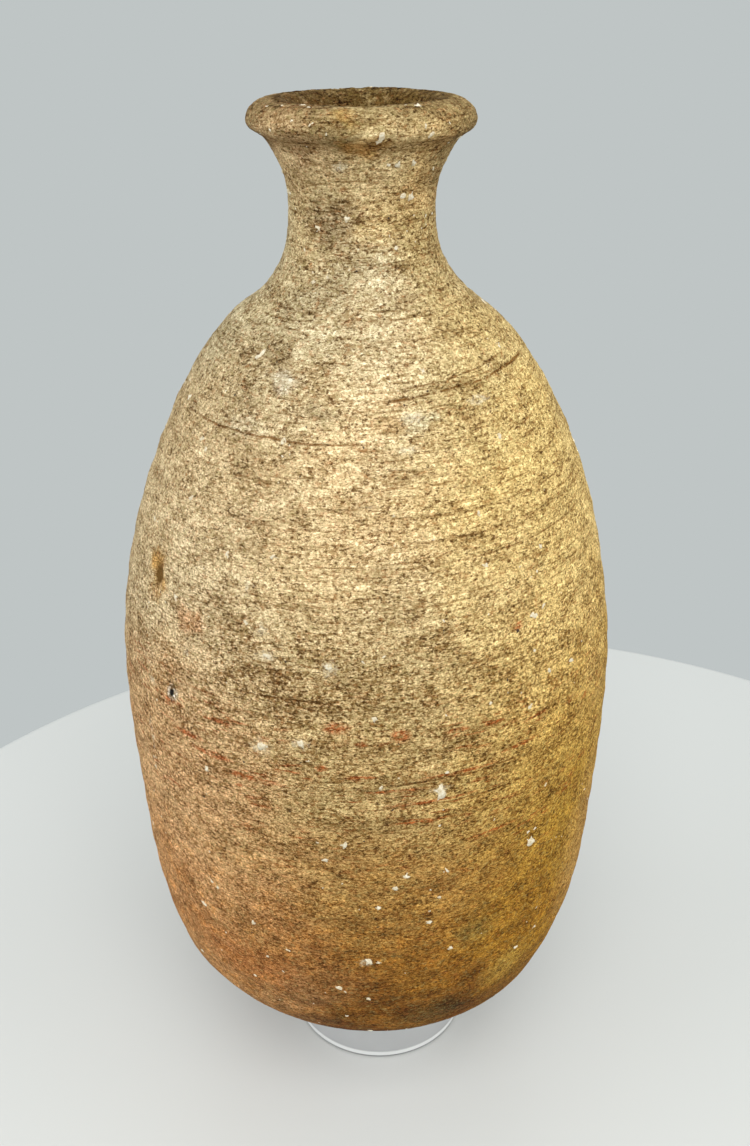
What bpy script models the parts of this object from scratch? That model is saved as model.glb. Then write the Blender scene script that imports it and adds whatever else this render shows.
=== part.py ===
"""Wheel-thrown clay bottle with a rounded base, standing in a short clear ring.

Frame: +Z up, origin on the table straight under the middle of the bottle's body.
The bottle lifts straight up out of the ring. All lengths below are in metres.
"""
import bpy
from math import tau

# Ring stand: a short slice of clear tube.
RING_RADIUS = 0.0254
RING_WALL = 0.0032
RING_HEIGHT = 0.0240
RING_EDGE = 0.0005
RING_SIDES = 48

# Bottle, driving sizes: radii and the heights above the table where they are reached.
BODY_RADIUS = 0.0630
BODY_HEIGHT = 0.1240
FOOT_RADIUS = 0.0222
FOOT_HEIGHT = RING_HEIGHT + 0.0005
BASE_HEIGHT = FOOT_HEIGHT - 0.0026
NECK_RADIUS = 0.0163
NECK_HEIGHT = 0.2420
RIM_RADIUS = 0.0251
RIM_HEIGHT = 0.2604
LIP_RADIUS = 0.0186
LIP_HEIGHT = 0.2648
MOUTH_RADIUS = 0.0142
THROAT_RADIUS = 0.0112
WALL_BODY = 0.0062
WALL_BASE = 0.0080
CAVITY_RADIUS = BODY_RADIUS - WALL_BODY
CAVITY_FLOOR = BASE_HEIGHT + WALL_BASE

# The rounded base sagged a little off centre before firing, and the ring stands under it.
DRIFT_X = 0.0038
DRIFT_Y = 0.0014
DRIFT_TOP = 0.0500
DRIFT_FOOT = 0.0260

BOTTLE_SIDES = 48
CURVE_STEPS = 2
MERGE_DISTANCE = 0.00001


def clear_scene():
    for item in list(bpy.data.objects):
        bpy.data.objects.remove(item, do_unlink=True)


def make_collection(name):
    collection = bpy.data.collections.new(name)
    bpy.context.scene.collection.children.link(collection)
    return collection


def make_material(name, colour, roughness, alpha=1.0):
    material = bpy.data.materials.new(name)
    material.use_nodes = True
    shader = material.node_tree.nodes["Principled BSDF"]
    shader.inputs["Base Color"].default_value = (*colour, 1.0)
    shader.inputs["Roughness"].default_value = roughness
    shader.inputs["Metallic"].default_value = 0.0
    shader.inputs["Alpha"].default_value = alpha
    return material


def make_empty(name, collection, height, parent=None):
    empty = bpy.data.objects.new(name, None)
    empty.empty_display_size = 0.02
    empty.parent = parent
    empty.location = (0.0, 0.0, height)
    collection.objects.link(empty)
    return empty


def smooth_curve(before, stations, after, steps):
    """Points of a Catmull-Rom curve through the stations, with steps spans between neighbours."""
    padded = [before, *stations, after]
    points = []
    for index in range(1, len(padded) - 2):
        corners = padded[index - 1:index + 3]
        for step in range(steps):
            t = step / steps
            point = []
            for p0, p1, p2, p3 in zip(*corners):
                slope = p2 - p0
                bend = 2 * p0 - 5 * p1 + 4 * p2 - p3
                twist = 3 * p1 - p0 - 3 * p2 + p3
                point.append(0.5 * (2 * p1 + slope * t + bend * t * t + twist * t ** 3))
            points.append(tuple(point))
    return [*points, stations[-1]]


def turn_profile(name, points, sides, closed):
    """A profile of (radius, height) points, turned round the Z axis by a Screw modifier."""
    edges = [(index, index + 1) for index in range(len(points) - 1)]
    if closed:
        edges.append((len(points) - 1, 0))
    mesh = bpy.data.meshes.new(name)
    mesh.from_pydata([(radius, 0.0, height) for radius, height in points], edges, [])
    turned = bpy.data.objects.new(name, mesh)
    screw = turned.modifiers.new("Turn", "SCREW")
    screw.axis = "Z"
    screw.angle = tau
    screw.steps = sides
    screw.render_steps = sides
    screw.use_merge_vertices = True
    screw.merge_threshold = MERGE_DISTANCE
    screw.use_smooth_shade = True
    return turned


def bottle_section():
    """The wall's section: up the inside from the cavity floor, over the lip, down the outside."""
    inside = [
        (0.0, CAVITY_FLOOR),
        (0.0190, CAVITY_FLOOR + 0.0014),
        (0.0345, CAVITY_FLOOR + 0.0080),
        (0.0460, 0.0460),
        (0.0520, 0.0620),
        (0.0552, 0.0870),
        (CAVITY_RADIUS, BODY_HEIGHT),
        (0.0547, 0.1490),
        (0.0490, 0.1730),
        (0.0400, 0.1940),
        (0.0310, 0.2085),
        (0.0215, 0.2190),
        (0.0143, 0.2275),
        (0.0117, 0.2360),
        (THROAT_RADIUS, 0.2450),
        (0.0124, 0.2550),
        (MOUTH_RADIUS, 0.2606),
        (0.0161, 0.2638),
    ]
    outside = [
        (LIP_RADIUS, LIP_HEIGHT),
        (0.0220, 0.2642),
        (0.0242, 0.2626),
        (RIM_RADIUS, RIM_HEIGHT),
        (0.0245, 0.2587),
        (0.0226, 0.2574),
        (0.0210, 0.2560),
        (0.0188, 0.2523),
        (0.0170, 0.2480),
        (NECK_RADIUS, NECK_HEIGHT),
        (0.0171, 0.2343),
        (0.0196, 0.2283),
        (0.0246, 0.2222),
        (0.0321, 0.2163),
        (0.0386, 0.2083),
        (0.0466, 0.1944),
        (0.0556, 0.1726),
        (0.0610, 0.1488),
        (BODY_RADIUS, BODY_HEIGHT),
        (0.0615, 0.0860),
        (0.0594, 0.0655),
        (0.0559, 0.0516),
        (0.0521, 0.0430),
        (0.0477, 0.0370),
        (0.0418, 0.0314),
        (0.0330, 0.0273),
        (FOOT_RADIUS, FOOT_HEIGHT),
        (0.0100, BASE_HEIGHT + 0.0006),
        (0.0, BASE_HEIGHT),
    ]
    beyond_axis = (-outside[-2][0], outside[-2][1])
    return inside + smooth_curve(inside[-1], outside, beyond_axis, CURVE_STEPS)


def drift_share(height):
    """How much of the base's drift is reached at a height, from 0 at the top to 1 at the foot."""
    t = (DRIFT_TOP - height) / (DRIFT_TOP - DRIFT_FOOT)
    t = min(max(t, 0.0), 1.0)
    return t * t * (3.0 - 2.0 * t)


def make_bottle(collection, lift):
    turned = turn_profile("bottle", bottle_section(), BOTTLE_SIDES, closed=False)
    collection.objects.link(turned)
    evaluated = turned.evaluated_get(bpy.context.evaluated_depsgraph_get())
    mesh = bpy.data.meshes.new_from_object(evaluated)
    bpy.data.objects.remove(turned, do_unlink=True)
    origin_height = lift.location.z
    for vertex in mesh.vertices:
        share = drift_share(vertex.co.z)
        vertex.co.x += DRIFT_X * share
        vertex.co.y += DRIFT_Y * share
        vertex.co.z -= origin_height
    mesh.shade_smooth()
    mesh.materials.clear()
    mesh.materials.append(make_material("fired_clay", (0.46, 0.32, 0.17), 0.92))
    bottle = bpy.data.objects.new("bottle", mesh)
    bottle.parent = lift
    collection.objects.link(bottle)
    return bottle


def ring_section():
    """The tube wall's section with its four edges eased, run down the outer side."""
    inner = RING_RADIUS - RING_WALL
    return [
        (inner, RING_EDGE),
        (inner, RING_HEIGHT - RING_EDGE),
        (inner + RING_EDGE, RING_HEIGHT),
        (RING_RADIUS - RING_EDGE, RING_HEIGHT),
        (RING_RADIUS, RING_HEIGHT - RING_EDGE),
        (RING_RADIUS, RING_EDGE),
        (RING_RADIUS - RING_EDGE, 0.0),
        (inner + RING_EDGE, 0.0),
    ]


def make_ring(collection, root):
    ring = turn_profile("ring_stand", ring_section(), RING_SIDES, closed=True)
    ring.data.materials.append(make_material("clear_acrylic", (0.93, 0.95, 0.96), 0.05, 0.3))
    ring.location = (DRIFT_X, DRIFT_Y, 0.0)
    ring.parent = root
    collection.objects.link(ring)
    return ring


def build():
    clear_scene()
    parts = make_collection("clay_bottle_on_ring")
    root = make_empty("table_point", parts, 0.0)
    lift = make_empty("bottle_lift_axis", parts, RING_HEIGHT, root)
    make_ring(parts, root)
    make_bottle(parts, lift)


build()
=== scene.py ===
import math
import random

import bmesh
import bpy
import numpy as np
from mathutils import Matrix, Vector, noise


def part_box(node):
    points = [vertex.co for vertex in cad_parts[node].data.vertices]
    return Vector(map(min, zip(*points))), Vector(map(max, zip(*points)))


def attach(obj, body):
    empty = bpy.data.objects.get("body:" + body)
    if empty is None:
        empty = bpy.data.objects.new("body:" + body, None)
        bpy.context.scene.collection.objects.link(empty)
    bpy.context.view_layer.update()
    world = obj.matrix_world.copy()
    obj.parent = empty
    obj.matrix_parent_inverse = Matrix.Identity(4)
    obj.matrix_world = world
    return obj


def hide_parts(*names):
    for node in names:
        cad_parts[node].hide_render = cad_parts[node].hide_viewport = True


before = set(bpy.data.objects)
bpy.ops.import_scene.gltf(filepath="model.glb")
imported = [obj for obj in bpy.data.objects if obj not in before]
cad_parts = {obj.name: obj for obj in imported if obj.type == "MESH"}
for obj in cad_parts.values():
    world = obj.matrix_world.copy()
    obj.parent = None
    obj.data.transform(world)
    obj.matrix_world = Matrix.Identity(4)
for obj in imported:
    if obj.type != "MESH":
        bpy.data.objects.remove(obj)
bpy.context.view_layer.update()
mm = 0.001

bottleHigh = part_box("bottle")[1]
ringLow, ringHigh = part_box("ring_stand")
print("frame loaded, lip at", round(bottleHigh.z, 4), "ring top at", round(ringHigh.z, 4))


bottle = {
    "columns": 512,        # points round the wall
    "rowStep": 0.62,       # mm between rows on the outside
    "insideStep": 3.0,     # mm between rows deep inside
    # outline from the lip down the outside, radius and height in mm
    "outside": [
        (18.6, 264.8), (22.0, 264.2), (24.2, 262.6), (25.1, 260.4), (24.5, 258.7), (22.6, 257.4),
        (21.0, 256.0), (18.8, 252.3), (17.0, 248.0), (16.3, 242.0), (17.1, 234.3), (19.6, 228.3),
        (24.6, 222.2), (32.1, 216.3), (38.6, 208.3), (46.6, 194.4), (55.6, 172.6), (61.0, 148.8),
        (63.0, 124.0), (61.7, 86.0), (59.6, 65.5), (56.2, 51.4), (52.5, 42.6), (48.1, 36.4),
        (42.1, 30.7), (33.1, 26.8), (22.2, 24.5), (10.0, 22.5), (1.2, 21.92),
    ],
    # and from the cavity floor up the inside to the lip
    "inside": [
        (1.2, 29.95), (19.0, 31.3), (34.5, 37.9), (46.0, 46.0), (52.0, 62.0), (55.2, 87.0),
        (56.8, 124.0), (54.7, 149.0), (49.0, 173.0), (40.0, 194.0), (31.0, 208.5), (21.5, 219.0),
        (14.3, 227.5), (11.7, 236.0), (11.2, 245.0), (12.4, 255.0), (14.2, 260.6), (16.1, 263.8),
        (18.6, 264.8),
    ],
    "sag": (3.8, 1.4),            # mm that the base sits off centre, x and y
    "sagFrom": 50.0,
    "sagTo": 26.0,
    # height and sideways lean of the centre line, mm
    "lean": [
        (22, 0.0), (50, 0.4), (100, 0.5), (150, 0.1), (190, 0.5), (215, 0.1), (235, -0.4), (265, -0.4),
    ],
    "outOfRound": 0.35,
    "dents": 0.40,
    "ridgePitch": 10.0,           # mm climbed by the thrower's fingers in one turn
    "ridges": 0.10,
    "drag": 0.110,                # depth of the fine wheel marks
    "grit": 0.100,
    "lipTilt": 0.20,              # mm that the lip stands higher on the right than on the left
    "chips": 0.35,
}


def throughPoints(stations, perSpan=24):
    stations = np.array(stations, float)
    ends = np.vstack([2 * stations[0] - stations[1], stations, 2 * stations[-1] - stations[-2]])
    t = np.linspace(0, 1, perSpan, endpoint=False)[:, None]
    spans = []
    for a, b, c, d in zip(ends[:-3], ends[1:-2], ends[2:-1], ends[3:]):
        spans.append(0.5 * (2 * b + (c - a) * t + (2 * a - 5 * b + 4 * c - d) * t ** 2
                            + (3 * b - a - 3 * c + d) * t ** 3))
    spans.append(stations[-1:])
    return np.vstack(spans)


def atSteps(curve, steps):
    along = np.concatenate([[0], np.cumsum(np.hypot(*np.diff(curve, axis=0).T))])
    places = [0.0]
    while places[-1] < along[-1]:
        places.append(places[-1] + steps(places[-1]))
    places = np.array(places) * along[-1] / places[-1]
    return np.stack([np.interp(places, along, curve[:, 0]), np.interp(places, along, curve[:, 1])], 1)


def smoothStep(value, low, high):
    t = np.clip((value - low) / (high - low), 0, 1)
    return t * t * (3 - 2 * t)


def field(points, size, flat=1.0, octaves=3, shift=0.0):
    # noise about zero whose lumps are size mm wide and size / flat mm tall
    scaled = points / size
    scaled[:, 2] *= flat
    scaled += shift
    return np.array([noise.fractal(Vector(p), 0.9, 2.0, octaves) for p in scaled.tolist()])


grooves = [
    # from and to azimuth in degrees (0 is the front, + to the right), then height at each end,
    # depth and half width in mm
    {"from": 4, "to": 76, "low": 208.6, "high": 211.6, "depth": 0.34, "half": 0.42},
    {"from": 10, "to": 60, "low": 210.6, "high": 213.4, "depth": 0.18, "half": 0.30},
    {"from": -72, "to": 4, "low": 200.2, "high": 200.9, "depth": 0.20, "half": 0.38},
    {"from": -80, "to": -22, "low": 223.2, "high": 222.8, "depth": 0.14, "half": 0.45},
    {"from": -60, "to": 70, "low": 225.2, "high": 226.0, "depth": 0.08, "half": 0.50},
    {"from": -78, "to": -30, "low": 214.9, "high": 214.5, "depth": 0.14, "half": 0.34},
    {"from": -5, "to": 78, "low": 186.8, "high": 188.0, "depth": 0.10, "half": 0.34},
    {"from": 6, "to": 78, "low": 182.0, "high": 183.6, "depth": 0.10, "half": 0.34},
    {"from": 14, "to": 80, "low": 177.6, "high": 179.2, "depth": 0.12, "half": 0.38},
    {"from": -40, "to": 12, "low": 184.2, "high": 184.8, "depth": 0.10, "half": 0.32},
    {"from": -30, "to": -6, "low": 148.2, "high": 148.8, "depth": 0.20, "half": 0.34},
    {"from": 2, "to": 38, "low": 122.6, "high": 123.2, "depth": 0.20, "half": 0.36},
    {"from": 6, "to": 34, "low": 128.8, "high": 129.8, "depth": 0.20, "half": 0.36},
    {"from": 100, "to": 190, "low": 206.0, "high": 209.5, "depth": 0.30, "half": 0.42},
    {"from": 120, "to": 260, "low": 188.0, "high": 191.0, "depth": 0.20, "half": 0.36},
    {"from": 150, "to": 290, "low": 222.6, "high": 224.4, "depth": 0.12, "half": 0.50},
    {"from": 90, "to": 240, "low": 176.0, "high": 179.0, "depth": 0.18, "half": 0.34},
    {"from": 110, "to": 170, "low": 131.0, "high": 132.4, "depth": 0.18, "half": 0.36},
]

pits = [
    # azimuth, height, half width, half height, depth
    {"at": (-56.5, 165.5), "half": (2.2, 3.2), "depth": 0.75},
    {"at": (-46.2, 142.0), "half": (0.9, 0.9), "depth": 0.80},
    {"at": (-69.5, 189.8), "half": (1.3, 0.8), "depth": 0.90},
    {"at": (-16.5, 119.8), "half": (0.9, 0.8), "depth": 0.70},
    {"at": (-21.5, 121.2), "half": (0.8, 0.7), "depth": 0.60},
    {"at": (-3.2, 231.0), "half": (1.2, 0.6), "depth": 0.55},
    {"at": (-21.8, 228.8), "half": (0.7, 0.6), "depth": 0.50},
    {"at": (55.2, 238.5), "half": (0.9, 0.8), "depth": 0.50},
    {"at": (-20.0, 136.0), "half": (0.8, 0.7), "depth": 0.60},
    {"at": (31.0, 110.0), "half": (0.7, 0.6), "depth": 0.50},
    {"at": (128.0, 150.0), "half": (1.4, 1.8), "depth": 0.90},
    {"at": (205.0, 118.0), "half": (1.6, 1.3), "depth": 0.80},
    {"at": (168.0, 198.0), "half": (0.9, 0.8), "depth": 0.60},
    {"at": (236.0, 172.0), "half": (1.1, 0.9), "depth": 0.70},
]


def angleFrom(azimuth, centre):
    return (azimuth - centre + 180) % 360 - 180


def grooveDepth(azimuth, height, ripple):
    total = np.zeros_like(azimuth)
    for groove in grooves:
        middle = (groove["from"] + groove["to"]) / 2
        reach = (groove["to"] - groove["from"]) / 2
        across = angleFrom(azimuth, middle) / reach
        line = groove["low"] + (groove["high"] - groove["low"]) * (across + 1) / 2 + 0.12 * ripple
        fade = 1 - smoothStep(np.abs(across), 0.75, 1.0)
        carved = np.exp(-((height - line) / groove["half"]) ** 2) * (0.65 + 0.5 * ripple)
        total += groove["depth"] * fade * carved
    return total


def pitDepth(azimuth, height, radius):
    total = np.zeros_like(azimuth)
    for pit in pits:
        east = np.radians(angleFrom(azimuth, pit["at"][0])) * radius / pit["half"][0]
        north = (height - pit["at"][1]) / pit["half"][1]
        total += pit["depth"] * np.exp(-(east ** 2 + north ** 2) ** 1.5)
    return total


def makeBottle(look):
    outside = atSteps(throughPoints(look["outside"]), lambda s: look["rowStep"])
    down = throughPoints(look["inside"])[::-1]
    inside = atSteps(down, lambda s: min(look["rowStep"] * (1 + s / 12), look["insideStep"]))[::-1]
    section = np.vstack([inside[:-1], outside])
    outer = np.concatenate([np.zeros(len(inside) - 1), np.ones(len(outside))])
    slope = np.gradient(section, axis=0)
    normal = np.stack([-slope[:, 1], slope[:, 0]], 1) / np.hypot(*slope.T)[:, None]

    columns, rows = look["columns"], len(section)
    turn = np.linspace(0, 2 * np.pi, columns, endpoint=False)
    azimuth = np.tile(np.degrees(turn), rows)
    radius, height = (np.repeat(section[:, k], columns) for k in (0, 1))
    isOut = np.repeat(outer, columns)
    out = np.stack([np.sin(np.radians(azimuth)), -np.cos(np.radians(azimuth))], 1)
    ball = np.stack([radius * out[:, 0], radius * out[:, 1], height], 1)

    # how strongly the wheel marked each height
    marked = (0.35 + 0.65 * smoothStep(height, 150, 185)) * (1 - 0.45 * smoothStep(height, 226, 240))
    marked *= 0.45 + 0.55 * smoothStep(height, 70, 120)
    slow = field(ball, 36, 0.7, 2)
    dragged = field(ball, 15, 15, 3, 7.3)
    finer = field(ball, 7, 9, 3, 3.1)
    lumps = field(ball, 2.6, 1.2, 3, 11.7)
    grains = field(ball, 1.1, 1.0, 2, 5.9)
    climb = height - look["ridgePitch"] * azimuth / 360
    ridge = np.cos(2 * np.pi * climb / look["ridgePitch"] + 1.2 * slow)
    body = smoothStep(height, 24, 60) * (1 - smoothStep(height, 215, 232))
    groove = grooveDepth(azimuth, height, finer)
    pit = pitDepth(azimuth, height, radius)

    coarse = look["dents"] * slow + look["ridges"] * ridge * body
    coarse += look["outOfRound"] * body * np.sin(np.radians(2 * azimuth))
    fine = look["drag"] * marked * (dragged + 0.7 * finer) + look["grit"] * (0.6 * lumps + 0.6 * grains)
    fine -= groove + pit
    lift = coarse + fine * (0.35 + 0.65 * isOut)
    lift *= smoothStep(radius, 1.2, 8)
    foot = 1 - smoothStep(height, 24, 27)
    lift = lift * (1 - 0.8 * foot * isOut)

    normals = np.repeat(normal, columns, axis=0)
    radial = radius + lift * normals[:, 0]
    rise = height + lift * normals[:, 1]
    lipUneven = smoothStep(height, 256, 264)
    chipped = look["chips"] * smoothStep(lumps + 0.6 * dragged, 0.25, 0.7) * smoothStep(height, 262.5, 264.5)
    tilt = look["lipTilt"] * np.sin(np.radians(azimuth))
    rise += lipUneven * (tilt + 0.20 * slow + 0.10 * lumps - 0.35) - chipped
    sagged = smoothStep(look["sagFrom"] - height, 0, look["sagFrom"] - look["sagTo"])
    heights, leans = zip(*look["lean"])
    lean = np.interp(height, heights, leans)
    x = radial * out[:, 0] + look["sag"][0] * sagged + lean
    y = radial * out[:, 1] + look["sag"][1] * sagged
    points = np.stack([x, y, rise], 1) * mm

    first = points[:columns].mean(0)
    last = points[-columns:].mean(0)
    points = np.vstack([points, first, last])
    grid = np.arange(rows * columns).reshape(rows, columns)
    across = np.roll(grid, -1, axis=1)
    quads = np.stack([grid[:-1], grid[1:], across[1:], across[:-1]], -1).reshape(-1, 4)
    caps = [(int(grid[0, k]), int(across[0, k]), rows * columns) for k in range(columns)]
    caps += [(int(across[-1, k]), int(grid[-1, k]), rows * columns + 1) for k in range(columns)]
    mesh = bpy.data.meshes.new("bottle_wall")
    mesh.from_pydata(points.tolist(), [], quads.tolist() + caps)
    mesh.shade_smooth()
    along = np.concatenate([[0], np.cumsum(np.hypot(*np.diff(section, axis=0).T))])
    start = len(inside) - 1
    fromLip = along[start] - along
    marks = {"relief": np.append(fine, [0, 0]) / 0.3,
             "scored": np.append(groove + pit, [0, 0]) / 0.3,
             "within": np.append(np.repeat(smoothStep(fromLip, -2.6, 0.8), columns), [1, 0])}
    for name, values in marks.items():
        mesh.attributes.new(name, "FLOAT", "POINT").data.foreach_set("value", values.astype(np.float32))
    wall = bpy.data.objects.new("bottle_wall", mesh)
    bpy.context.scene.collection.objects.link(wall)
    print("bottle wall:", rows, "rows,", len(mesh.polygons), "faces")
    shape = (rows, columns, 3)
    facing = np.stack([normals[:, 0] * out[:, 0], normals[:, 0] * out[:, 1], normals[:, 1]], 1)
    return wall, {"heights": section[start:, 1], "points": points[:-2].reshape(shape)[start:],
                  "facing": facing.reshape(shape)[start:]}


lime = {
    # azimuth, height and width of each white lump
    "named": [
        (-43, 215, 1.7), (-71, 201.5, 1.3), (15, 126, 2.5), (38, 102, 2.0), (39, 162, 1.3), (42, 148, 1.1),
        (36, 141, 1.0), (50, 147, 1.0), (8, 102, 1.4), (-5, 112, 1.3),
        (13.5, 87, 1.0), (19, 76, 0.9), (-9, 107, 0.9), (2, 93, 0.8), (0, 74.5, 1.3), (-7, 64, 1.3),
        (-37, 88, 1.1), (-43, 78.5, 1.2),
        (-22, 136.5, 1.5), (-13.5, 139, 1.0), (40, 199.5, 1.2), (23, 252.8, 1.1),
        (35.5, 252.8, 0.8), (38.8, 246.2, 1.4), (31.5, 245.8, 1.1), (-14.5, 252.5, 0.7), (9, 258.5, 1.3),
        (-21, 158, 1.0), (-8, 157, 1.0), (28, 186, 0.9), (-26, 211.5, 1.1), (31, 261, 0.6), (-27, 164, 0.8),
        (-24, 261.6, 0.5), (-35, 262, 0.5), (42, 163, 0.8),
        (-62, 264.0, 0.6), (-50, 264.4, 0.6), (-37, 264.6, 0.8), (-30, 264.5, 0.5), (33, 264.4, 1.0),
        (27, 264.6, 0.5),
        (174, 264.5, 1.2), (150, 264.3, 0.7),
        (122, 170, 1.8), (160, 128, 2.2), (201, 148, 1.5), (232, 110, 1.9), (188, 208, 1.3), (251, 190, 1.4),
        (141, 92, 1.5), (214, 66, 1.2), (96, 134, 1.4), (268, 150, 1.5), (175, 250, 1.2),
    ],
    "scattered": 420,
    "smallest": 0.30,
    "widest": 1.10,
    "lowest": 34,
    "highest": 262,
    "swell": 1.6,       # a lump is this much wider than the part of it that shows
    "proud": 0.12,       # share of a lump's width that stands out of the wall
    "seed": 4,
}

grit = {
    "named": [(-16.5, 119.8, 0.9), (-21.5, 121.2, 0.8), (-3.2, 231, 0.9), (34, 160, 0.9),
              (-7, 63.6, 0.5), (-1, 113.5, 0.7), (6.5, 139.5, 0.8), (-22, 228.8, 0.8), (44, 155, 0.5)],
    "scattered": 420,
    "smallest": 0.28,
    "widest": 0.62,
    "lowest": 60,
    "highest": 258,
    "swell": 1.4,
    "proud": 0.06,
    "seed": 9,
}


def scatterGrains(name, look, surface):
    # small rough pebbles pressed into the wall, joined as one piece
    chance = random.Random(look["seed"])
    places = list(look["named"])
    for _ in range(look["scattered"]):
        width = look["smallest"] + (look["widest"] - look["smallest"]) * chance.random() ** 2.5
        places.append((chance.uniform(-180, 180), chance.uniform(look["lowest"], look["highest"]), width))
    pebble = bmesh.new()
    bmesh.ops.create_icosphere(pebble, subdivisions=2, radius=0.5)
    corners = [vertex.co.copy() for vertex in pebble.verts]
    sides = [[vertex.index for vertex in face.verts] for face in pebble.faces]
    pebble.free()
    points = []
    faces = []
    rows, columns = surface["points"].shape[:2]
    for azimuth, height, width in places:
        row = int(np.argmin(np.abs(surface["heights"] - height)))
        column = round(azimuth % 360 / 360 * columns) % columns
        centre = Vector(surface["points"][row, column])
        facing = Vector(surface["facing"][row, column])
        width *= look["swell"]
        turn = facing.to_track_quat("Z", "Y").to_matrix()
        spin = Matrix.Rotation(chance.uniform(0, math.tau), 3, "Z")
        stretch = Vector((chance.uniform(0.9, 1.5), chance.uniform(0.6, 1.0), chance.uniform(0.5, 0.7)))
        seat = centre + facing * (look["proud"] - stretch.z / 2) * width * mm
        first = len(points)
        for corner in corners:
            rough = 1 + 0.85 * noise.noise(corner * 3.6 + Vector((first, 0, 0)))
            points.append(seat + turn @ (spin @ (corner * stretch)) * rough * width * mm)
        faces.extend([first + index for index in side] for side in sides)
    mesh = bpy.data.meshes.new(name)
    mesh.from_pydata(points, [], faces)
    mesh.shade_smooth()
    piece = bpy.data.objects.new(name, mesh)
    bpy.context.scene.collection.objects.link(piece)
    print(name + ":", len(places), "grains")
    return piece


def addNode(tree, kind, sockets=None, **settings):
    node = tree.nodes.new(kind)
    for name, value in settings.items():
        setattr(node, name, value)
    for name, value in (sockets or {}).items():
        if isinstance(value, bpy.types.NodeSocket):
            tree.links.new(value, node.inputs[name])
        else:
            node.inputs[name].default_value = value
    return node


def maths(tree, operation, a, b=0.0):
    return addNode(tree, "ShaderNodeMath", {0: a, 1: b}, operation=operation).outputs[0]


def times(tree, a, b):
    return maths(tree, "MULTIPLY", a, b)


def between(tree, value, low, high, start=0.0, end=1.0):
    sockets = {"Value": value, "From Min": low, "From Max": high, "To Min": start, "To Max": end}
    return addNode(tree, "ShaderNodeMapRange", sockets, interpolation_type="SMOOTHSTEP").outputs[0]


def blendColour(tree, amount, first, second, mode="MIX"):
    node = addNode(tree, "ShaderNodeMix", data_type="RGBA", blend_type=mode)
    for index, value in ((0, amount), (6, first), (7, second)):
        if isinstance(value, bpy.types.NodeSocket):
            tree.links.new(value, node.inputs[index])
        elif index:
            node.inputs[index].default_value = (*value[:3], 1.0)
        else:
            node.inputs[index].default_value = value
    return node.outputs[2]


def colourRamp(tree, value, stops):
    node = addNode(tree, "ShaderNodeValToRGB", {"Fac": value})
    elements = node.color_ramp.elements
    while len(elements) < len(stops):
        elements.new(0.5)
    for element, (place, colour) in zip(elements, stops):
        element.position = place
        element.color = (*colour, 1.0)
    return node.outputs["Color"]


def scaled(tree, vector, factors):
    node = addNode(tree, "ShaderNodeVectorMath", {0: vector, 1: factors}, operation="MULTIPLY")
    return node.outputs[0]


def noiseIn(tree, vector, scale, detail=3.0, roughness=0.55):
    sockets = {"Vector": vector, "Scale": scale, "Detail": detail, "Roughness": roughness}
    return addNode(tree, "ShaderNodeTexNoise", sockets).outputs["Fac"]


def fromSrgb(red, green, blue):
    channels = [c / 255 for c in (red, green, blue)]
    return tuple(c / 12.92 if c <= 0.04045 else ((c + 0.055) / 1.055) ** 2.4 for c in channels)


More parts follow.
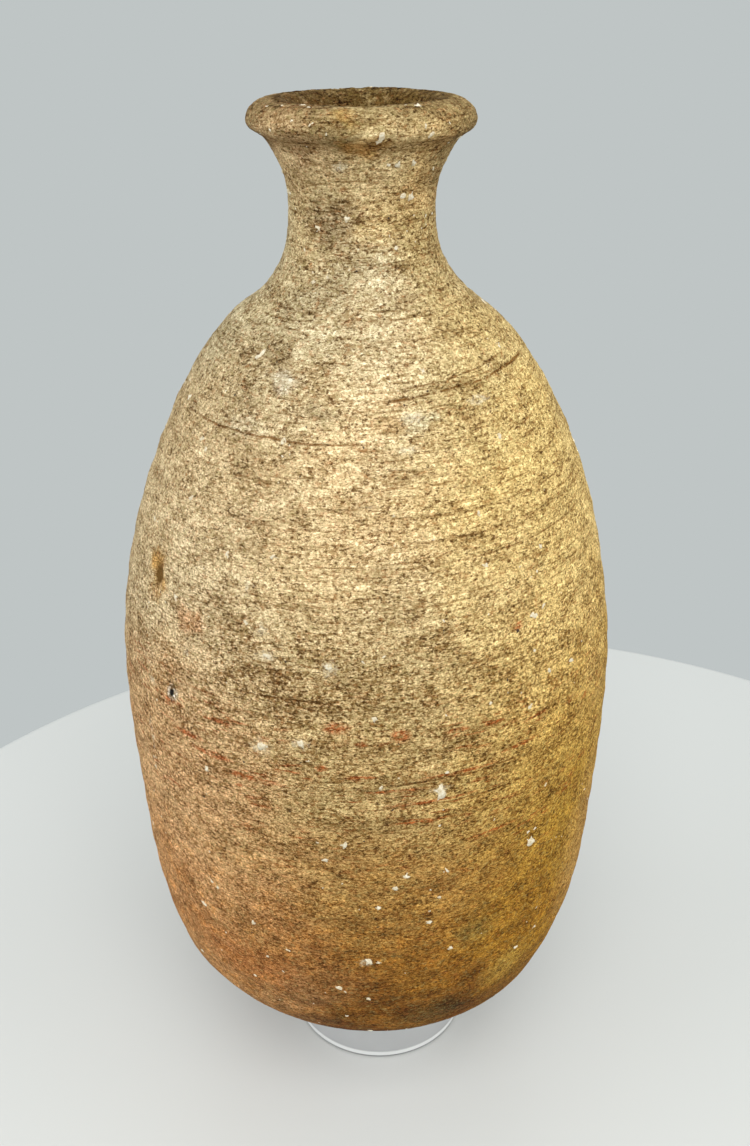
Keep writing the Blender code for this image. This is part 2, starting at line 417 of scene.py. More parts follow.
clay = {
    "lowest": 20.0,           # mm, the heights that the colours below run between
    "highest": 266.0,
    "bellyRadius": 63.0,
    # height in mm and colour of the firing: left of the neck, at the front, right of it; the darkest low
    # stops also hold painted shade under the curve of the base, and the lighter front and right stops at 254
    # mm are painted light under the rim
    "leftColours": [
        (20, (140, 84, 44)), (45, (184, 140, 92)), (72, (190, 136, 84)), (100, (210, 166, 116)),
        (135, (205, 171, 125)), (165, (208, 186, 145)), (195, (194, 170, 128)), (225, (182, 166, 129)),
        (245, (196, 172, 126)), (254, (186, 156, 114)), (260, (148, 124, 86)),
    ],
    "frontColours": [
        (20, (110, 62, 24)), (40, (86, 42, 10)), (72, (154, 108, 45)), (100, (178, 138, 77)),
        (135, (193, 166, 113)), (165, (199, 174, 127)), (195, (221, 192, 143)), (225, (206, 189, 150)),
        (245, (206, 180, 132)), (254, (216, 190, 140)), (260, (168, 146, 102)),
    ],
    "rightColours": [
        (20, (120, 76, 24)), (45, (146, 104, 36)), (72, (165, 120, 38)), (100, (180, 140, 54)),
        (135, (201, 163, 86)), (165, (222, 191, 124)), (195, (217, 187, 121)), (225, (190, 167, 118)),
        (245, (184, 158, 106)), (254, (200, 168, 114)), (260, (158, 134, 90)),
    ],
    "hollowShade": (0.26, 0.19, 0.12),     # light left in the dark hollows between grains
    "grainAndCreaseShade": (0.47, 0.38, 0.27),
    "grooveShade": (0.36, 0.23, 0.12),
    "paleLift": (1.40, 1.46, 1.58),        # and how much the pale grains add
    "paleGrain": (252, 238, 206),
    "rustGrain": (180, 110, 58),
    "oliveGrain": (164, 152, 96),
    "mottle": (0.62, 0.58, 0.52),
    "rimShade": (0.90, 0.89, 0.86),
    "palePatch": (1.22, 1.24, 1.30),
    "ember": (1.45, 1.25, 0.90),
    "scorch": (0.50, 0.42, 0.36),
    "rust": (168, 80, 30),
    "halo": (232, 224, 206),
    "holeShade": (30, 25, 22),
    "chalk": (224, 210, 178),
    "dirt": (96, 68, 30),
    "innerDirtAndShade": (0.36, 0.30, 0.19),
    # where a lime lump burst out: the white ring it left, and the hole in the middle, painted dark as shade
    "popOut": {"at": (-46, 142), "half": (2.0, 1.8)},
    "popHole": {"at": (-46.2, 142), "half": (0.8, 0.9)},
    # soft stains: azimuth, height, half width, half height, colour, strength
    "stains": [
        {"at": (-22, 152), "half": (12, 6), "colour": (120, 110, 92), "strength": 0.06},
        {"at": (-10, 147), "half": (9, 3), "colour": (120, 108, 88), "strength": 0.08},
        {"at": (19, 50), "half": (10, 7), "colour": (72, 58, 32), "strength": 0.70},
        {"at": (26, 80), "half": (6, 4), "colour": (110, 98, 52), "strength": 0.50},
        {"at": (37, 60), "half": (8, 8), "colour": (190, 156, 72), "strength": 0.45},
        {"at": (66, 84), "half": (16, 30), "colour": (206, 164, 100), "strength": 0.50},
        {"at": (38, 84), "half": (12, 20), "colour": (146, 100, 34), "strength": 0.35},
        {"at": (-28, 211), "half": (4, 2.5), "colour": (206, 198, 178), "strength": 0.55},
        {"at": (-38, 202), "half": (5, 3.2), "colour": (206, 192, 160), "strength": 0.45},
        {"at": (-16, 206.5), "half": (5, 2.4), "colour": (158, 138, 102), "strength": 0.65},
        {"at": (15, 204.5), "half": (4, 2.4), "colour": (218, 208, 170), "strength": 0.60},
        {"at": (33, 204), "half": (3, 1.8), "colour": (150, 112, 62), "strength": 0.60},
        {"at": (-56.5, 166), "half": (4, 7), "colour": (186, 138, 66), "strength": 0.80},
        {"at": (0, 257), "half": (6, 3), "colour": (196, 142, 66), "strength": 0.60},
        {"at": (-8, 262), "half": (5, 2), "colour": (176, 132, 60), "strength": 0.50},
        {"at": (8, 240), "half": (7, 6), "colour": (226, 194, 132), "strength": 0.45},
        {"at": (-25, 240), "half": (8, 6), "colour": (150, 128, 96), "strength": 0.45},
        {"at": (-30, 66), "half": (16, 10), "colour": (170, 96, 52), "strength": 0.30},
        {"at": (-42, 160), "half": (5, 3), "colour": (196, 126, 78), "strength": 0.40},
        {"at": (8, 205), "half": (4, 2.5), "colour": (170, 134, 84), "strength": 0.50},
        {"at": (150, 140), "half": (18, 12), "colour": (96, 80, 60), "strength": 0.55},
        {"at": (200, 70), "half": (16, 12), "colour": (92, 74, 40), "strength": 0.55},
        {"at": (225, 188), "half": (9, 5), "colour": (210, 196, 160), "strength": 0.50},
        {"at": (118, 205), "half": (8, 4), "colour": (150, 122, 82), "strength": 0.50},
    ],
    # soot, where dark grains crowd together, laid out the same way
    "soot": [
        {"at": (-22, 152), "half": (14, 7)}, {"at": (-10, 147), "half": (10, 3.5)},
        {"at": (-30, 163), "half": (9, 5)}, {"at": (-16, 134), "half": (8, 4)},
        {"at": (24, 52), "half": (9, 5)}, {"at": (-25, 240), "half": (9, 7)},
        {"at": (-40, 212), "half": (10, 8)}, {"at": (150, 140), "half": (18, 12)},
        {"at": (222, 170), "half": (14, 8)},
    ],
    # ragged smears of lime, laid out the same way
    "chalkMarks": [
        {"at": (-27, 172), "half": (1.0, 2.4)}, {"at": (-22.8, 163.8), "half": (1.2, 1.8)},
        {"at": (-21.2, 158.2), "half": (2.2, 1.2)}, {"at": (-7.5, 157), "half": (1.6, 1.8)},
        {"at": (-42.2, 154), "half": (0.9, 1.4)}, {"at": (-55.6, 125.5), "half": (0.8, 5.5)},
        {"at": (-22, 136.5), "half": (2.4, 2.0)}, {"at": (-13.2, 139), "half": (1.8, 1.1)},
        {"at": (-53.8, 141.5), "half": (1.6, 0.7)}, {"at": (14.5, 205), "half": (2.6, 1.3)},
        {"at": (12, 199.5), "half": (2.2, 1.1)}, {"at": (38, 206), "half": (2.6, 1.0)},
        {"at": (-14.5, 252.5), "half": (1.8, 0.9)}, {"at": (-0.2, 74.5), "half": (1.7, 1.2)},
        {"at": (-26.5, 211.5), "half": (2.4, 1.5)}, {"at": (15, 126), "half": (2.0, 1.1)},
        {"at": (130, 160), "half": (2.2, 1.4)}, {"at": (165, 120), "half": (2.6, 1.3)},
        {"at": (205, 150), "half": (1.8, 1.6)}, {"at": (240, 108), "half": (2.0, 1.2)},
        {"at": (188, 206), "half": (3.0, 1.8)}, {"at": (254, 184), "half": (1.4, 2.2)},
    ],
    # rust marks dragged by the wheel, laid out the same way
    "rustMarks": [
        {"at": (7, 141), "half": (2.4, 2.0)}, {"at": (-6, 143.3), "half": (3.4, 1.6)},
        {"at": (-1, 139.5), "half": (1.6, 0.8)}, {"at": (18.5, 140.3), "half": (3.6, 0.6)},
        {"at": (27, 139.8), "half": (3.6, 0.5)}, {"at": (13, 123), "half": (12, 0.55)},
        {"at": (20, 129.5), "half": (12, 0.5)}, {"at": (6, 127), "half": (9, 0.5)},
        {"at": (33, 131.5), "half": (7, 0.5)}, {"at": (-34, 131), "half": (7, 0.9)},
        {"at": (-41, 133.5), "half": (6, 0.8)}, {"at": (-26, 128), "half": (6, 0.9)},
        {"at": (-1, 131), "half": (4, 0.5)}, {"at": (11, 118), "half": (8, 0.45)},
        {"at": (38, 137), "half": (5, 0.5)}, {"at": (-48, 140), "half": (6, 0.7)},
        {"at": (34, 160), "half": (1.6, 1.2)}, {"at": (-9, 133.2), "half": (1.8, 0.8)},
        {"at": (28, 110), "half": (7, 0.5)}, {"at": (140, 128), "half": (14, 0.6)},
        {"at": (170, 134), "half": (12, 0.6)}, {"at": (215, 126), "half": (15, 0.6)},
        {"at": (190, 141), "half": (4, 1.2)}, {"at": (250, 132), "half": (10, 0.6)},
    ],
}


def shaded(tree, amount, colour, tone):
    # the colour multiplied by one of the clay's tones
    return blendColour(tree, amount, colour, clay[tone], "MULTIPLY")


def heightRamp(tree, share, stops):
    span = clay["highest"] - clay["lowest"]
    return colourRamp(tree, share, [((h - clay["lowest"]) / span, fromSrgb(*c)) for h, c in stops])


def radiusAt(height):
    outline = throughPoints(bottle["outside"])[::-1]
    order = np.argsort(outline[:, 1])
    return float(np.interp(height, outline[order, 1], outline[order, 0]))


def onWall(azimuth, height):
    turn = math.radians(azimuth)
    radius = radiusAt(height)
    return Vector((radius * math.sin(turn), -radius * math.cos(turn), height))


def nearness(tree, place, mark):
    # 0 at the middle of a mark and 1 at its edge
    away = addNode(tree, "ShaderNodeVectorMath", {0: place, 1: onWall(*mark["at"])}, operation="SUBTRACT")
    wide, tall = mark["half"]
    inHalves = scaled(tree, away.outputs[0], (1 / wide, 1 / wide, 1 / tall))
    return addNode(tree, "ShaderNodeVectorMath", {0: inHalves}, operation="LENGTH").outputs["Value"]


def pulledAbout(tree, place, size, reach):
    ragged = addNode(tree, "ShaderNodeTexNoise", {"Vector": place, "Scale": 1 / size, "Detail": 4.0})
    centred = addNode(tree, "ShaderNodeVectorMath", {0: ragged.outputs["Color"], 1: (0.5, 0.5, 0.5)},
                      operation="SUBTRACT").outputs[0]
    sockets = {0: centred, 1: (reach, reach, reach * 0.6), 2: place}
    return addNode(tree, "ShaderNodeVectorMath", sockets, operation="MULTIPLY_ADD").outputs[0]


def scratchAmount(tree, azimuth, height, groove, ragged, broken):
    # 1 along a groove's line, fading out sideways and at its two ends
    middle = (groove["from"] + groove["to"]) / 2
    reach = (groove["to"] - groove["from"]) / 2
    away = maths(tree, "SUBTRACT", azimuth, middle)
    wrapped = addNode(tree, "ShaderNodeMath", {0: away, 1: 180.0, 2: -180.0}, operation="WRAP").outputs[0]
    across = maths(tree, "DIVIDE", wrapped, reach)
    rise = (groove["high"] - groove["low"]) / 2
    line = addNode(tree, "ShaderNodeMath", {0: across, 1: rise, 2: groove["low"] + rise},
                   operation="MULTIPLY_ADD").outputs[0]
    offset = maths(tree, "ABSOLUTE", maths(tree, "ADD", maths(tree, "SUBTRACT", height, line), ragged))
    near = between(tree, offset, 0.05, groove["half"] * 1.05, min(groove["depth"] * 4.5, 1), 0)
    ends = between(tree, maths(tree, "ABSOLUTE", across), 0.80, 1.0, 1, 0)
    return times(tree, times(tree, near, ends), broken)


def clayMaterial():
    material = bpy.data.materials.new("firedClay")
    material.use_nodes = True
    tree = material.node_tree
    shader = tree.nodes["Principled BSDF"]
    place = addNode(tree, "ShaderNodeTexCoord").outputs["Object"]
    level = scaled(tree, place, (1000, 1000, 1000))
    axes = addNode(tree, "ShaderNodeSeparateXYZ", {"Vector": level}).outputs
    slanted = maths(tree, "SUBTRACT", axes["Z"], times(tree, axes["X"], 0.035))    # marks climb a little
    inMm = addNode(tree, "ShaderNodeCombineXYZ", {"X": axes["X"], "Y": axes["Y"], "Z": slanted}).outputs[0]

    # broad colour of the firing by height and side, with painted shade low down and painted light just under
    # the rim
    wobble = noiseIn(tree, inMm, 0.035, 4, 0.6)
    bent = maths(tree, "ADD", axes["Z"], between(tree, wobble, 0.25, 0.75, -12, 12))
    span = clay["highest"] - clay["lowest"]
    share = maths(tree, "DIVIDE", maths(tree, "SUBTRACT", bent, clay["lowest"]), span)
    flat = addNode(tree, "ShaderNodeVectorMath", {0: scaled(tree, level, (1, 1, 0))}, operation="LENGTH")
    sideways = maths(tree, "DIVIDE", axes["X"], maths(tree, "MAXIMUM", flat.outputs["Value"], 1.0))
    sockets = {0: sideways, 1: clay["bellyRadius"], 2: between(tree, wobble, 0.3, 0.7, -9, 9)}
    across = addNode(tree, "ShaderNodeMath", sockets, operation="MULTIPLY_ADD").outputs[0]
    sides = ("leftColours", "frontColours", "rightColours")
    left, front, right = (heightRamp(tree, share, clay[side]) for side in sides)
    colour = blendColour(tree, between(tree, across, -46, 4), left, front)
    colour = blendColour(tree, between(tree, across, 4, 48), colour, right)

    # cloudy patches a few centimetres and a few millimetres wide
    clouds = noiseIn(tree, scaled(tree, inMm, (1, 1, 1.8)), 0.09, 5, 0.65)
    colour = shaded(tree, between(tree, clouds, 0.52, 0.70, 0, 0.6), colour, "mottle")
    colour = shaded(tree, between(tree, clouds, 0.48, 0.30, 0, 0.6), colour, "palePatch")

    lowDown = between(tree, axes["Z"], 130, 60)
    flecks = noiseIn(tree, scaled(tree, inMm, (1, 1, 1.5)), 0.20, 5, 0.7)
    for low, high, tone in ((0.50, 0.62, "ember"), (0.50, 0.38, "scorch")):
        amount = times(tree, between(tree, flecks, low, high, 0, 0.55), lowDown)
        colour = shaded(tree, amount, colour, tone)
    soft = pulledAbout(tree, level, 4.5, 12)
    for stain in clay["stains"]:
        amount = between(tree, nearness(tree, soft, stain), 0.30, 1.30, stain["strength"], 0)
        colour = blendColour(tree, amount, colour, fromSrgb(*stain["colour"]))

    # wheel marks: long fine lines, darker and paler
    upper = between(tree, axes["Z"], 60, 160, 0.45, 1)
    lines = noiseIn(tree, scaled(tree, inMm, (0.05, 0.05, 0.95)), 1, 4, 0.65)
    colour = shaded(tree, times(tree, between(tree, lines, 0.53, 0.68, 0, 0.45), upper), colour, "grainAndCreaseShade")
    threads = noiseIn(tree, scaled(tree, inMm, (0.10, 0.10, 2.0)), 1, 2, 0.6)
    thin = times(tree, between(tree, threads, 0.58, 0.68, 0, 0.75), upper)
    colour = shaded(tree, thin, colour, "grainAndCreaseShade")
    colour = shaded(tree, times(tree, between(tree, lines, 0.46, 0.32, 0, 0.5), upper), colour, "paleLift")

    # rust streaks dragged round the body
    streak = noiseIn(tree, scaled(tree, inMm, (0.16, 0.16, 1.2)), 1, 4, 0.65)
    patch = noiseIn(tree, scaled(tree, inMm, (1, 1, 2)), 0.07, 2)
    band = times(tree, between(tree, axes["Z"], 90, 116), between(tree, axes["Z"], 158, 138))
    rusty = times(tree, between(tree, streak, 0.54, 0.64), band)
    rusty = times(tree, rusty, between(tree, patch, 0.44, 0.58))
    colour = blendColour(tree, times(tree, rusty, 0.75), colour, fromSrgb(*clay["rust"]))
    close = pulledAbout(tree, inMm, 0.9, 1.6)
    crumbs = noiseIn(tree, scaled(tree, inMm, (0.6, 0.6, 1.4)), 1.0, 4, 0.8)
    crumbled = between(tree, crumbs, 0.38, 0.54, 0.10, 0.85)
    for mark in clay["rustMarks"]:
        amount = times(tree, between(tree, nearness(tree, close, mark), 0.4, 1.2, 1, 0), crumbled)
        colour = blendColour(tree, amount, colour, fromSrgb(*clay["rust"]))
    ringed = between(tree, nearness(tree, close, clay["popOut"]), 0.7, 1.3, 0.85, 0)
    colour = blendColour(tree, ringed, colour, fromSrgb(*clay["halo"]))

    # grains packed in the surface: brown ones, the dark hollows between them, pale ones
    grainSpace = scaled(tree, inMm, (1, 1, 1.5))
    crowding = noiseIn(tree, scaled(tree, inMm, (1, 1, 1.6)), 0.16, 3, 0.6)
    crowd = between(tree, crowding, 0.3, 0.7, -0.045, 0.045)
    for smudge in clay["soot"]:
        sooty = between(tree, nearness(tree, soft, smudge), 0.2, 1.2, 0.036, 0)
        crowd = maths(tree, "ADD", crowd, sooty)
    vivid = times(tree, between(tree, axes["Z"], 176, 150), between(tree, axes["Z"], 40, 70, 0.5, 1))
    crowd = maths(tree, "ADD", crowd, times(tree, vivid, 0.016))
    strength = maths(tree, "ADD", between(tree, axes["Z"], 45, 150, 0.75, 1), times(tree, vivid, 0.3))
    packed = maths(tree, "ADD", noiseIn(tree, grainSpace, 0.95, 3, 0.8), crowd)
    brown = times(tree, between(tree, packed, 0.52, 0.58, 0, 0.75), strength)
    colour = shaded(tree, brown, colour, "grainAndCreaseShade")
    pale = times(tree, between(tree, packed, 0.48, 0.39), strength)
    colour = shaded(tree, pale, colour, "paleLift")
    tint = noiseIn(tree, grainSpace, 0.75, 3, 0.7)
    rustGrains = between(tree, tint, 0.55, 0.66, 0, 0.32)
    colour = blendColour(tree, rustGrains, colour, fromSrgb(*clay["rustGrain"]))
    oliveGrains = between(tree, tint, 0.46, 0.36, 0, 0.30)
    colour = blendColour(tree, oliveGrains, colour, fromSrgb(*clay["oliveGrain"]))
    pores = maths(tree, "ADD", noiseIn(tree, scaled(tree, inMm, (0.75, 0.75, 1.4)), 1.45, 2, 0.6), crowd)
    hollow = times(tree, between(tree, pores, 0.575, 0.64), between(tree, axes["Z"], 50, 150, 0.8, 1))
    colour = shaded(tree, times(tree, hollow, 0.9), colour, "hollowShade")
    dash = noiseIn(tree, scaled(tree, inMm, (0.22, 0.22, 1.5)), 1, 3, 0.6)
    dashes = times(tree, between(tree, dash, 0.60, 0.69), between(tree, axes["Z"], 95, 170, 0.25, 0.9))
    colour = shaded(tree, dashes, colour, "grainAndCreaseShade")

    # ragged lime smears, then the finest dust over everything
    torn = pulledAbout(tree, inMm, 1.3, 5.0)
    for mark in clay["chalkMarks"]:
        amount = times(tree, between(tree, nearness(tree, torn, mark), 0.2, 1.4, 0.75, 0), crumbled)
        colour = blendColour(tree, amount, colour, fromSrgb(*clay["chalk"]))
    dust = noiseIn(tree, grainSpace, 2.1, 2, 0.7)
    dusty = times(tree, between(tree, dust, 0.52, 0.66, 0, 0.88), strength)
    colour = shaded(tree, dusty, colour, "grainAndCreaseShade")
    colour = shaded(tree, between(tree, dust, 0.48, 0.35, 0, 0.9), colour, "paleLift")
    chalky = times(tree, between(tree, noiseIn(tree, grainSpace, 1.3, 2, 0.7), 0.57, 0.68), vivid)
    colour = shaded(tree, times(tree, chalky, 0.85), colour, "paleLift")

    # the rim is duller than the neck, and painted shade darkens the crease under it
    rubbed = between(tree, axes["Z"], 255.8, 258.2, 0, 0.8)
    colour = shaded(tree, rubbed, colour, "rimShade")
    # painted shade: a dark band in the crease under the rim
    crease = times(tree, between(tree, bent, 240, 247), between(tree, axes["Z"], 258.6, 257.2))
    crease = times(tree, crease, between(tree, axes["Z"], 254.2, 256.4))
    colour = shaded(tree, times(tree, crease, 0.55), colour, "grainAndCreaseShade")

    # the named grooves, as broken dark lines
    frontward = times(tree, axes["Y"], -1)
    azimuth = times(tree, maths(tree, "ARCTAN2", axes["X"], frontward), math.degrees(1))
    wander = noiseIn(tree, scaled(tree, inMm, (0.16, 0.16, 0.5)), 0.8, 4, 0.7)
    ragged = between(tree, wander, 0.2, 0.8, -0.30, 0.30)
    breaks = noiseIn(tree, scaled(tree, inMm, (0.4, 0.4, 0.9)), 0.7, 4, 0.8)
    broken = between(tree, breaks, 0.38, 0.50, 0, 1)
    scratched = 0.0
    for groove in grooves:
        scratch = scratchAmount(tree, azimuth, axes["Z"], groove, ragged, broken)
        scratched = maths(tree, "MAXIMUM", scratched, scratch)
    colour = shaded(tree, scratched, colour, "grooveShade")

    # dirt held in pits, dirt and painted shade inside the neck, rubbed high spots
    relief, scored, within = (addNode(tree, "ShaderNodeAttribute", attribute_name=name).outputs["Fac"]
                              for name in ("relief", "scored", "within"))
    colour = blendColour(tree, between(tree, scored, 0.9, 2.2, 0, 0.9), colour, fromSrgb(*clay["dirt"]))
    highSpots = between(tree, relief, 0.2, 0.9, 0, 0.25)
    colour = blendColour(tree, highSpots, colour, fromSrgb(*clay["paleGrain"]))
    # inside the lip the clay is darkened, partly dirt and partly painted shade
    blotches = between(tree, noiseIn(tree, inMm, 0.35, 4, 0.7), 0.3, 0.7, -0.25, 0.25)
    deep = between(tree, maths(tree, "ADD", within, blotches), 0.25, 0.65)
    deep = times(tree, deep, between(tree, noiseIn(tree, inMm, 0.45, 3, 0.7), 0.46, 0.64, 1, 0.45))
    colour = shaded(tree, deep, colour, "innerDirtAndShade")
    # painted shade in the middle of the burst hole, since the modelled pit is shallow
    paintedHoleShade = between(tree, nearness(tree, inMm, clay["popHole"]), 0.8, 1.15, 1, 0)
    colour = blendColour(tree, paintedHoleShade, colour, fromSrgb(*clay["holeShade"]))
    tree.links.new(colour, shader.inputs["Base Color"])

    tree.links.new(between(tree, dust, 0.3, 0.7, 0.84, 0.97), shader.inputs["Roughness"])
    shader.inputs["Specular IOR Level"].default_value = 0.08
    raised = maths(tree, "SUBTRACT", maths(tree, "ADD", times(tree, dust, 0.5), pale), brown)
    raised = maths(tree, "SUBTRACT", maths(tree, "SUBTRACT", raised, hollow), times(tree, scratched, 2))
    bump = addNode(tree, "ShaderNodeBump", {"Height": raised, "Strength": 0.6, "Distance": 0.0002})
    tree.links.new(bump.outputs["Normal"], shader.inputs["Normal"])
    return material


def grainMaterial(name, light, dark, spot):
    # a stone's own colour, from light to dark in patches spot mm wide
    material = bpy.data.materials.new(name)
    material.use_nodes = True
    tree = material.node_tree
    shader = tree.nodes["Principled BSDF"]
    place = scaled(tree, addNode(tree, "ShaderNodeTexCoord").outputs["Object"], (1000, 1000, 1000))
    patches = noiseIn(tree, place, 1 / spot, 3, 0.7)
    tree.links.new(colourRamp(tree, patches, [(0.35, fromSrgb(*light)), (0.65, fromSrgb(*dark))]),
                   shader.inputs["Base Color"])
    shader.inputs["Roughness"].default_value = 0.85
    bump = addNode(tree, "ShaderNodeBump", {"Height": patches, "Strength": 0.4, "Distance": 0.0001})
    tree.links.new(bump.outputs["Normal"], shader.inputs["Normal"])
    return material


ring = {
    "sides": 192,
    "wall": 3.2,
    "edge": 0.5,      # mm, eased edge
    "edgeSteps": 4,
    "paintedHighlightTop": 2.6,   # mm, a pale band below this is a painted highlight
    "clear": (0.93, 0.94, 0.95),
    "paintedHighlight": (248, 249, 249),
    # the dark line along the foot is painted shade for the dark edge of the clear wall
    "paintedFootShade": (104, 106, 108),
    "smokeColour": (0.35, 0.37, 0.39),
    "smokeDensity": 8.0,
}


def turned(name, section, sides, centre):
    columns = np.linspace(0, 2 * np.pi, sides, endpoint=False)
    section = np.array(section, float)
    rows = len(section)
    points = np.stack([
        (centre[0] + np.outer(section[:, 0], np.sin(columns))).ravel(),
        (centre[1] - np.outer(section[:, 0], np.cos(columns))).ravel(),
        np.repeat(section[:, 1], sides)], 1) * mm
    grid = np.arange(rows * sides).reshape(rows, sides)
    below = np.roll(grid, -1, axis=0)
    quads = np.stack([grid, below, np.roll(below, -1, axis=1), np.roll(grid, -1, axis=1)], -1).reshape(-1, 4)
    mesh = bpy.data.meshes.new(name)
    mesh.from_pydata(points.tolist(), [], quads.tolist())
    mesh.shade_smooth()
    piece = bpy.data.objects.new(name, mesh)
    bpy.context.scene.collection.objects.link(piece)
    return piece


def ringSection(outer, inner, bottom, top, edge, steps):
    corners = [(outer - edge, top - edge, 0), (outer - edge, bottom + edge, 1),
               (inner + edge, bottom + edge, 2), (inner + edge, top - edge, 3)]
    points = []
    for x, z, quarter in corners:
        for step in range(steps + 1):
            turn = math.pi / 2 * (1 - quarter - step / steps)
            points.append((x + edge * math.cos(turn), z + edge * math.sin(turn)))
    return points


def makeRing(look):
    centre = ((ringLow.x + ringHigh.x) / 2 / mm, (ringLow.y + ringHigh.y) / 2 / mm)
    outer = (ringHigh.x - ringLow.x) / 2 / mm
    inner = outer - look["wall"]
    low, high = ringLow.z / mm, ringHigh.z / mm
    section = ringSection(outer, inner, low, high, look["edge"], look["edgeSteps"])
    piece = turned("clear_ring", section, look["sides"], centre)
    print("ring:", len(piece.data.polygons), "faces")
    return piece


def acrylicMaterial():
    material = bpy.data.materials.new("clearAcrylic")
    material.use_nodes = True
    tree = material.node_tree
    shader = tree.nodes["Principled BSDF"]
    shader.inputs["IOR"].default_value = 1.49
    place = scaled(tree, addNode(tree, "ShaderNodeTexCoord").outputs["Object"], (1000, 1000, 1000))
    height = addNode(tree, "ShaderNodeSeparateXYZ", {"Vector": place}).outputs["Z"]
    scuffs = noiseIn(tree, place, 0.5, 4)
    scratches = noiseIn(tree, scaled(tree, place, (1, 1, 12)), 0.6, 2)
    # painted highlight: a pale band low in the wall, with less transmission
    paintedHighlight = between(tree, height, ring["paintedHighlightTop"], ring["paintedHighlightTop"] * 0.6)
    # painted shade: a dark line along the foot
    paintedFootShade = between(tree, height, ring["edge"] * 1.6, ring["edge"] * 0.9)
    colour = blendColour(tree, paintedHighlight, ring["clear"], fromSrgb(*ring["paintedHighlight"]))
    colour = blendColour(tree, paintedFootShade, colour, fromSrgb(*ring["paintedFootShade"]))
    tree.links.new(colour, shader.inputs["Base Color"])
    # the share of the wall that isn't transmission shows the pale tint diffusely: painted light standing in
    # for light passing through the wall into the ring
    tree.links.new(between(tree, paintedHighlight, 0, 1, 0.62, 0.15), shader.inputs["Transmission Weight"])
    scuffed = between(tree, scuffs, 0.4, 0.75, 0.02, 0.08)
    rough = maths(tree, "ADD", scuffed, between(tree, scratches, 0.6, 0.7, 0, 0.06))
    tree.links.new(maths(tree, "ADD", rough, times(tree, paintedFootShade, 0.3)), shader.inputs["Roughness"])
    # a long way through the wall looks darker than a short one
    sockets = {"Color": (*ring["smokeColour"], 1.0), "Density": ring["smokeDensity"]}
    smoke = addNode(tree, "ShaderNodeVolumeAbsorption", sockets)
    tree.links.new(smoke.outputs[0], tree.nodes["Material Output"].inputs["Volume"])
    return material


studio = {
    "tableRadius": 244.0,
    "tableCentre": (38.0, -15.0),
    "tableColour": (209, 211, 210),
    "tableEdge": 4.0,
    "tableThickness": 18.0,
    "backdrop": (191, 197, 197),
    "lights": [
        {"name": "left", "at": (-0.85, -0.25, 0.45), "size": 0.8, "watts": 3.6, "colour": (1.0, 0.99, 0.98)},
        {"name": "right", "at": (0.85, -0.20, 0.45), "size": 0.8, "watts": 3.3, "colour": (1.0, 0.98, 0.94)},
        {"name": "above", "at": (0.05, -0.75, 0.95), "size": 0.8, "watts": 9.2, "colour": (1.0, 0.98, 0.95)},
        {"name": "behind", "at": (0.0, 0.90, 0.70), "size": 0.8, "watts": 0.8, "colour": (1.0, 0.99, 0.97)},
    ],
}

camera = {
    "distance": 276.6,   # mm from the bottle's centre line
    "height": 290.2,     # mm above the table
    "pitch": 27.0,       # degrees down
    "yaw": 0.52,         # degrees to the right
    "lens": 37.7,
}


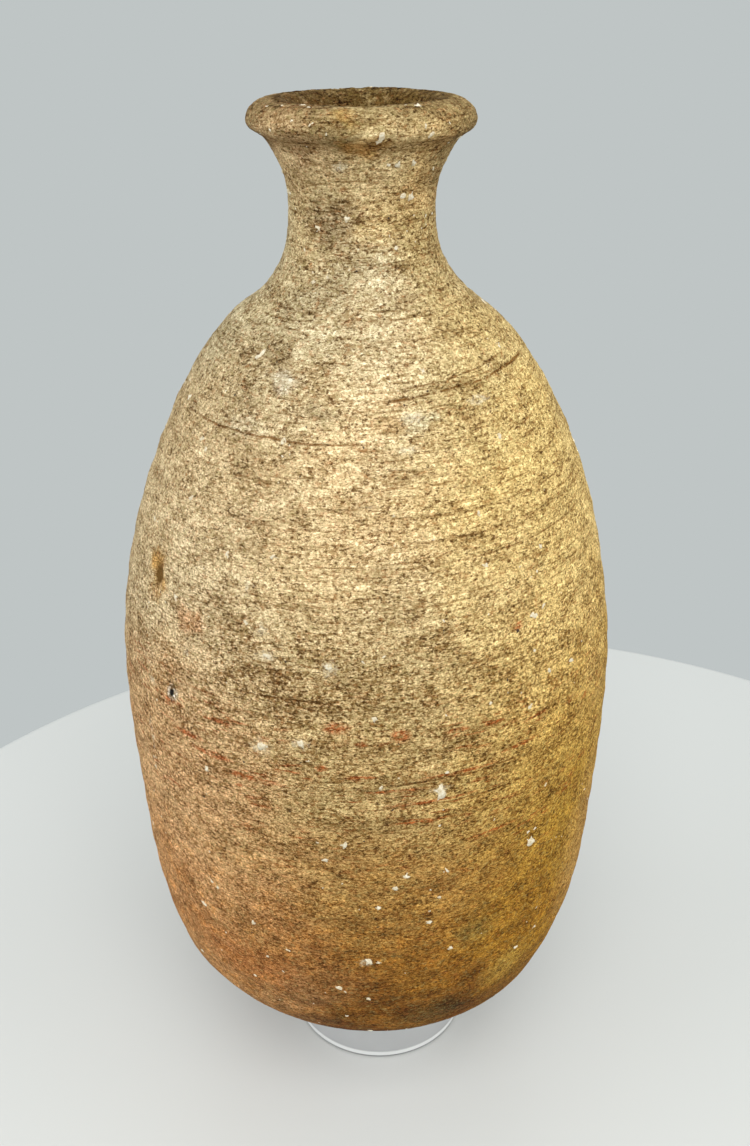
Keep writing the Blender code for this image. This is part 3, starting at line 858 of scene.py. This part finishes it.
def makeTable(look):
    # a round white top with an eased edge
    radius, edge = look["tableRadius"], look["tableEdge"]
    turn = np.linspace(0, 2 * np.pi, 192, endpoint=False)
    section = [(radius - edge, 0.0)]
    for step in range(1, 7):
        angle = math.pi / 12 * step
        section.append((radius - edge + edge * math.sin(angle), edge * math.cos(angle) - edge))
    section.append((radius, -look["tableThickness"]))
    x, y = look["tableCentre"]
    points = [((x + r * math.cos(t)) * mm, (y + r * math.sin(t)) * mm, z * mm)
              for r, z in section for t in turn]
    count = len(turn)
    faces = [list(range(count))]
    for row in range(len(section) - 1):
        for k in range(count):
            after = (k + 1) % count
            top, bottom = row * count, (row + 1) * count
            faces.append([top + k, bottom + k, bottom + after, top + after])
    mesh = bpy.data.meshes.new("table")
    mesh.from_pydata(points, [], faces)
    mesh.shade_smooth()
    mesh.polygons[0].use_smooth = False
    table = bpy.data.objects.new("table", mesh)
    bpy.context.scene.collection.objects.link(table)
    material = bpy.data.materials.new("tableWhite")
    material.use_nodes = True
    shader = material.node_tree.nodes["Principled BSDF"]
    shader.inputs["Base Color"].default_value = (*fromSrgb(*look["tableColour"]), 1)
    shader.inputs["Roughness"].default_value = 0.4
    mesh.materials.append(material)


def makeLight(look):
    world = bpy.data.worlds.new("studio")
    bpy.context.scene.world = world
    world.use_nodes = True
    world.node_tree.nodes["Background"].inputs["Color"].default_value = (*fromSrgb(*look["backdrop"]), 1)
    for lamp in look["lights"]:
        data = bpy.data.lights.new(lamp["name"], "AREA")
        data.size = lamp["size"]
        data.energy = lamp["watts"]
        data.color = lamp["colour"]
        light = bpy.data.objects.new(lamp["name"], data)
        light.location = lamp["at"]
        aim = Vector((0, 0, 0.13)) - light.location
        light.rotation_euler = aim.to_track_quat("-Z", "Y").to_euler()
        bpy.context.scene.collection.objects.link(light)


def makeCamera(look):
    data = bpy.data.cameras.new("camera")
    data.lens = look["lens"]
    data.clip_start = 0.01
    eye = bpy.data.objects.new("camera", data)
    eye.location = (0.0, -look["distance"] * mm, look["height"] * mm)
    eye.rotation_euler = (math.radians(90 - look["pitch"]), 0, math.radians(-look["yaw"]))
    bpy.context.scene.collection.objects.link(eye)
    bpy.context.scene.camera = eye


wall, surface = makeBottle(bottle)
wall.data.materials.append(clayMaterial())
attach(wall, "bottle")
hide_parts("bottle")

limeLumps = scatterGrains("lime_lumps", lime, surface)
limeLumps.data.materials.append(grainMaterial("limeWhite", (236, 228, 206), (196, 176, 138), 0.6))
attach(limeLumps, "bottle")

darkGrit = scatterGrains("dark_grit", grit, surface)
darkGrit.data.materials.append(grainMaterial("darkStone", (74, 50, 32), (26, 20, 17), 0.6))
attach(darkGrit, "bottle")

clearRing = makeRing(ring)
clearRing.data.materials.append(acrylicMaterial())
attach(clearRing, "stand")
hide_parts("ring_stand")

makeTable(studio)
makeLight(studio)
makeCamera(camera)
bpy.context.scene.view_settings.view_transform = "Standard"
print("table, lights and camera are in place")
